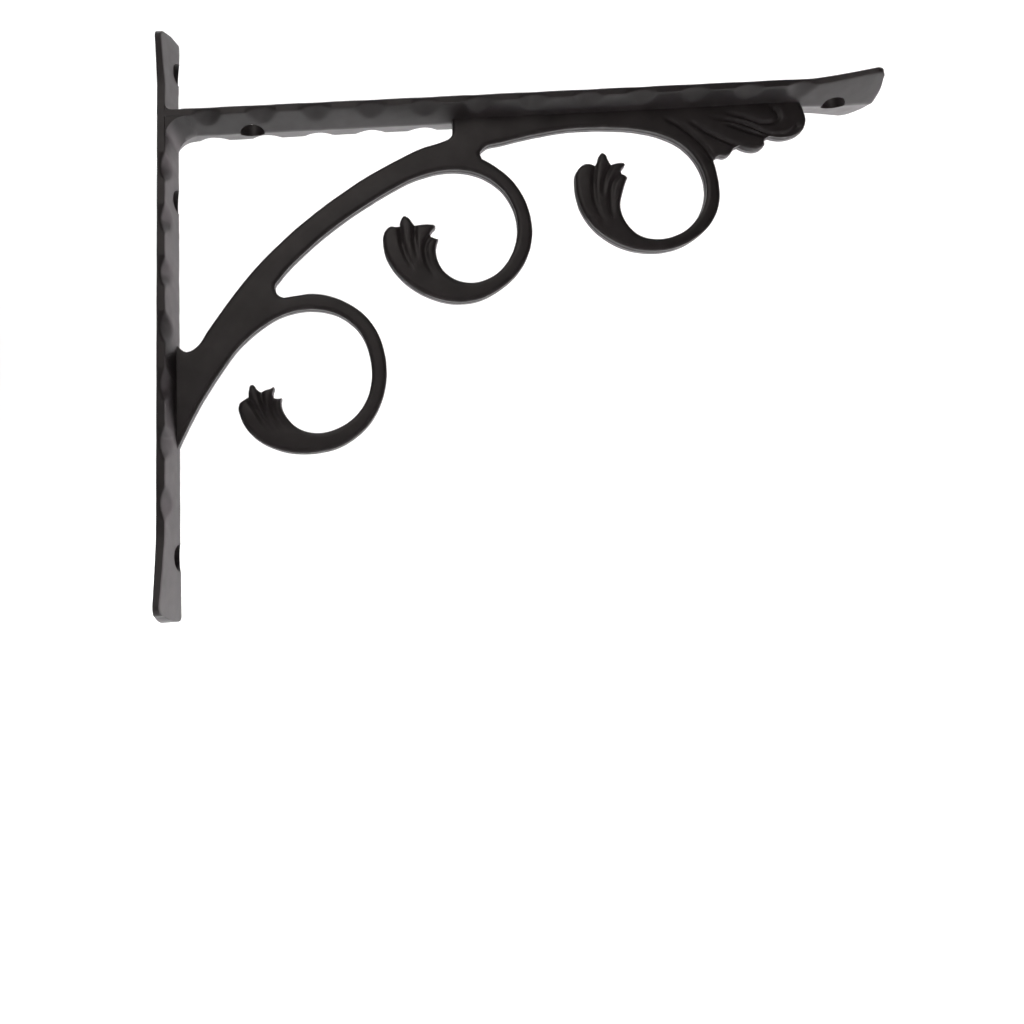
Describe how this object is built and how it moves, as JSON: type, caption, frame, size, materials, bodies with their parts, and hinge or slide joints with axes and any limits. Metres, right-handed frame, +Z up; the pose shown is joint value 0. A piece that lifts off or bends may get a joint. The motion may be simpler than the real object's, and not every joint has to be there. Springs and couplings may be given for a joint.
{
  "type": "decorative shelf bracket",
  "caption": "Cast iron scroll shelf bracket in satin black: crowned wall plate and shelf arm with hammered edges and fishtail ends, joined by a curved brace with leaf-ended scrolls",
  "frame": {"origin": "on the wall plate's flat back face, on the middle of its width, level with the shelf arm's top face", "axes": "+X out from the wall along the shelf arm, +Y across the width, +Z up"},
  "size_m": [0.252, 0.0312, 0.1997],
  "materials": {
    "black_coat": "satin black coat over an as-cast surface, a little glossy on flats and worn softer on edges"
  },
  "bodies": {
    "root": {"bracket": "black_coat"}
  },
  "joints": []
}
